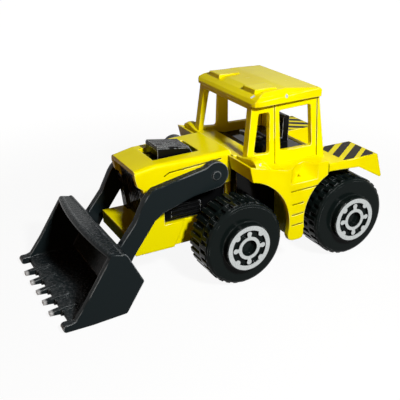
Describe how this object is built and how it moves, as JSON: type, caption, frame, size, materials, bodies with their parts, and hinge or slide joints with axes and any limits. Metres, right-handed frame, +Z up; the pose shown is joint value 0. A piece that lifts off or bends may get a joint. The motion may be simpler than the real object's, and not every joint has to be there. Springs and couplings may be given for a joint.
{
  "type": "toy front loader",
  "caption": "Die-cast toy tractor loader: wheeled body with an open cab, lugged wheels that turn freely and a toothed front bucket on two arms that lift about a pivot in the hood.",
  "frame": {"origin": "on the floor under the middle of the bounding box", "axes": "+X forward over the bucket, +Y to the left-hand side, +Z up"},
  "size_m": [0.0726, 0.0356, 0.0374],
  "materials": {
    "yellow_paint": "gloss",
    "black_plastic": "semi-gloss",
    "wheel_plastic": "matte",
    "bright_foil": "satin",
    "axle_steel": "drawn",
    "rivet_metal": "satin"
  },
  "bodies": {
    "chassis": {"body_casting": "yellow_paint", "roof_casting": "yellow_paint", "base_plate": "black_plastic", "engine_insert": "black_plastic", "radiator_grille": "black_plastic", "cab_interior": "black_plastic", "steering_wheel": "black_plastic", "front_rivet": "rivet_metal", "rear_rivet": "rivet_metal", "front_axle": "axle_steel", "rear_axle": "axle_steel"},
    "shovel": {"loader_shovel": "black_plastic"},
    "front_left": {"front_left_wheel": "wheel_plastic", "front_left_hub_foil": "bright_foil"},
    "front_right": {"front_right_wheel": "wheel_plastic", "front_right_hub_foil": "bright_foil"},
    "rear_left": {"rear_left_wheel": "wheel_plastic", "rear_left_hub_foil": "bright_foil"},
    "rear_right": {"rear_right_wheel": "wheel_plastic", "rear_right_hub_foil": "bright_foil"}
  },
  "joints": [
    {"name": "loader_lift", "type": "hinge", "parent": "chassis", "child": "shovel", "pos_m": [0.00093, 0, 0.0218], "axis": [0, -1, 0], "range_deg": [0, 55]},
    {"name": "front_left_spin", "type": "hinge", "parent": "chassis", "child": "front_left", "pos_m": [-0.00187, 0.013, 0.0087], "axis": [0, 1, 0], "continuous": true},
    {"name": "front_right_spin", "type": "hinge", "parent": "chassis", "child": "front_right", "pos_m": [-0.00187, -0.013, 0.0087], "axis": [0, 1, 0], "continuous": true},
    {"name": "rear_left_spin", "type": "hinge", "parent": "chassis", "child": "rear_left", "pos_m": [-0.02763, 0.013, 0.0087], "axis": [0, 1, 0], "continuous": true},
    {"name": "rear_right_spin", "type": "hinge", "parent": "chassis", "child": "rear_right", "pos_m": [-0.02763, -0.013, 0.0087], "axis": [0, 1, 0], "continuous": true}
  ]
}
